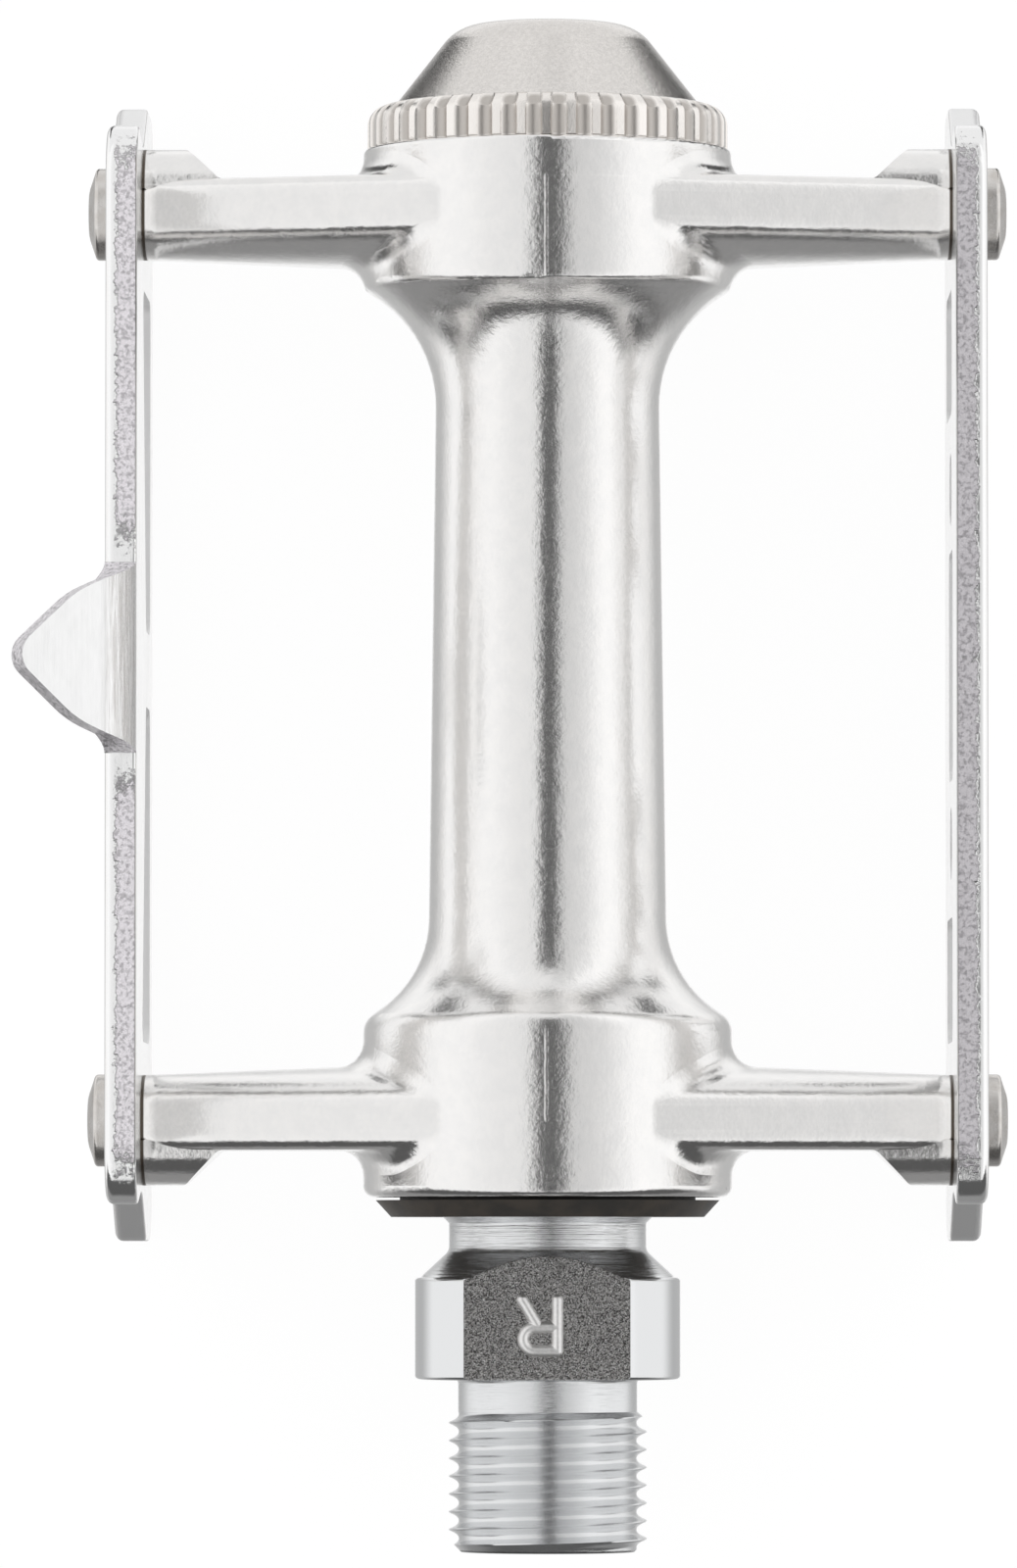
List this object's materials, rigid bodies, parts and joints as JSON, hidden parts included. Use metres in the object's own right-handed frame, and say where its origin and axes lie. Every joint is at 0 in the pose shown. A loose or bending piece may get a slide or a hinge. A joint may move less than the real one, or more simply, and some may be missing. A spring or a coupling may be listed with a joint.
{
  "type": "track pedal",
  "caption": "Right-hand bicycle track pedal: threaded spindle, barrel body with arms, two stamped cage plates, a flip tab and a fluted dust cap.",
  "frame": {"origin": "on the spindle's axis, in the flange face that seats on the crank", "axes": "+Y along the spindle from the crank to the dust cap, +X to the front cage plate, +Z to the side with the flip tab"},
  "size_m": [0.0704, 0.1094, 0.0334],
  "materials": {
    "spindle_steel": "plated, turned",
    "body_aluminium": "polished forging",
    "cage_aluminium": "polished faces, sheared edges",
    "rivet_steel": "nickel plated",
    "cap_aluminium": "satin",
    "seal_rubber": "matte black",
    "bearing_steel": "hardened, ground"
  },
  "bodies": {
    "spindle": {"spindle": "spindle_steel", "adjusting_cone": "bearing_steel", "lock_washer": "bearing_steel", "locknut": "bearing_steel"},
    "pedal": {"pedal_body": "body_aluminium", "rear_cage_plate": "cage_aluminium", "front_cage_plate": "cage_aluminium", "cage_rivets": "rivet_steel", "dust_cap": "cap_aluminium", "dust_seal": "seal_rubber", "inner_bearing_cup": "bearing_steel", "outer_bearing_cup": "bearing_steel"},
    "inner_balls": {"inner_ball_01": "bearing_steel", "inner_ball_02": "bearing_steel", "inner_ball_03": "bearing_steel", "inner_ball_04": "bearing_steel", "inner_ball_05": "bearing_steel", "inner_ball_06": "bearing_steel", "inner_ball_07": "bearing_steel", "inner_ball_08": "bearing_steel", "inner_ball_09": "bearing_steel", "inner_ball_10": "bearing_steel", "inner_ball_11": "bearing_steel", "inner_ball_12": "bearing_steel"},
    "outer_balls": {"outer_ball_01": "bearing_steel", "outer_ball_02": "bearing_steel", "outer_ball_03": "bearing_steel", "outer_ball_04": "bearing_steel", "outer_ball_05": "bearing_steel", "outer_ball_06": "bearing_steel", "outer_ball_07": "bearing_steel", "outer_ball_08": "bearing_steel", "outer_ball_09": "bearing_steel", "outer_ball_10": "bearing_steel", "outer_ball_11": "bearing_steel", "outer_ball_12": "bearing_steel"}
  },
  "joints": [
    {"name": "pedal_spin", "type": "hinge", "parent": "spindle", "child": "pedal", "pos_m": [0, 0.051, 0], "axis": [0, 1, 0], "continuous": true},
    {"name": "inner_ball_orbit", "type": "hinge", "parent": "spindle", "child": "inner_balls", "pos_m": [0, 0.0187, 0], "axis": [0, 1, 0], "continuous": true},
    {"name": "outer_ball_orbit", "type": "hinge", "parent": "spindle", "child": "outer_balls", "pos_m": [0, 0.0827, 0], "axis": [0, 1, 0], "continuous": true}
  ],
  "couplings": [
    {"joint": "inner_ball_orbit", "follows": "pedal_spin", "ratio": 0.5888},
    {"joint": "outer_ball_orbit", "follows": "pedal_spin", "ratio": 0.5888}
  ]
}
